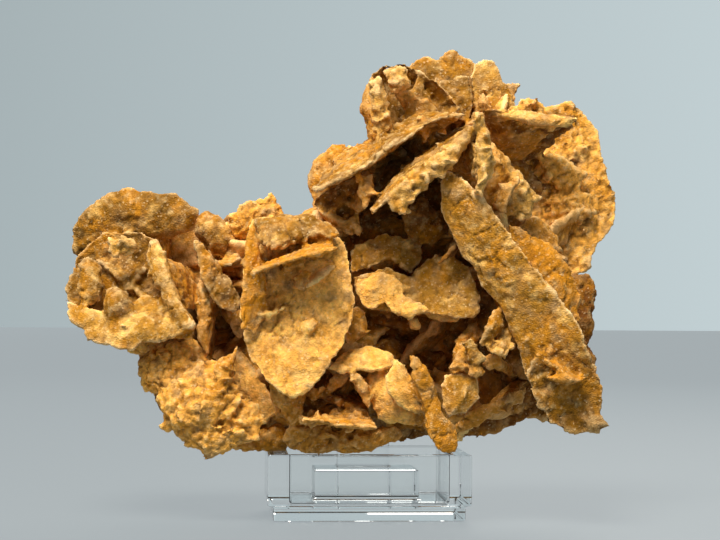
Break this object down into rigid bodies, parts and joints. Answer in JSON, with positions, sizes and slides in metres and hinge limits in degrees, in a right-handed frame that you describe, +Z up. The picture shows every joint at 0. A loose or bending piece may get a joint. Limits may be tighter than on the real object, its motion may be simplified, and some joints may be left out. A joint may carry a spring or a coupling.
{
  "type": "gypsum specimen",
  "caption": "Desert rose gypsum cluster of intergrown, dusty ochre blade crystals in two lobes, resting on a small square clear acrylic display stand.",
  "frame": {"origin": "middle of the stand's underside, on the surface it stands on", "axes": "+Z up, -Y towards the pictured front, +X to the pictured right"},
  "size_m": [0.15, 0.0815, 0.1287],
  "materials": {
    "gypsum_ochre": "matte, grainy",
    "clear_acrylic": "polished"
  },
  "bodies": {
    "root": {"desert_rose": "gypsum_ochre", "acrylic_stand": "clear_acrylic"}
  },
  "joints": []
}
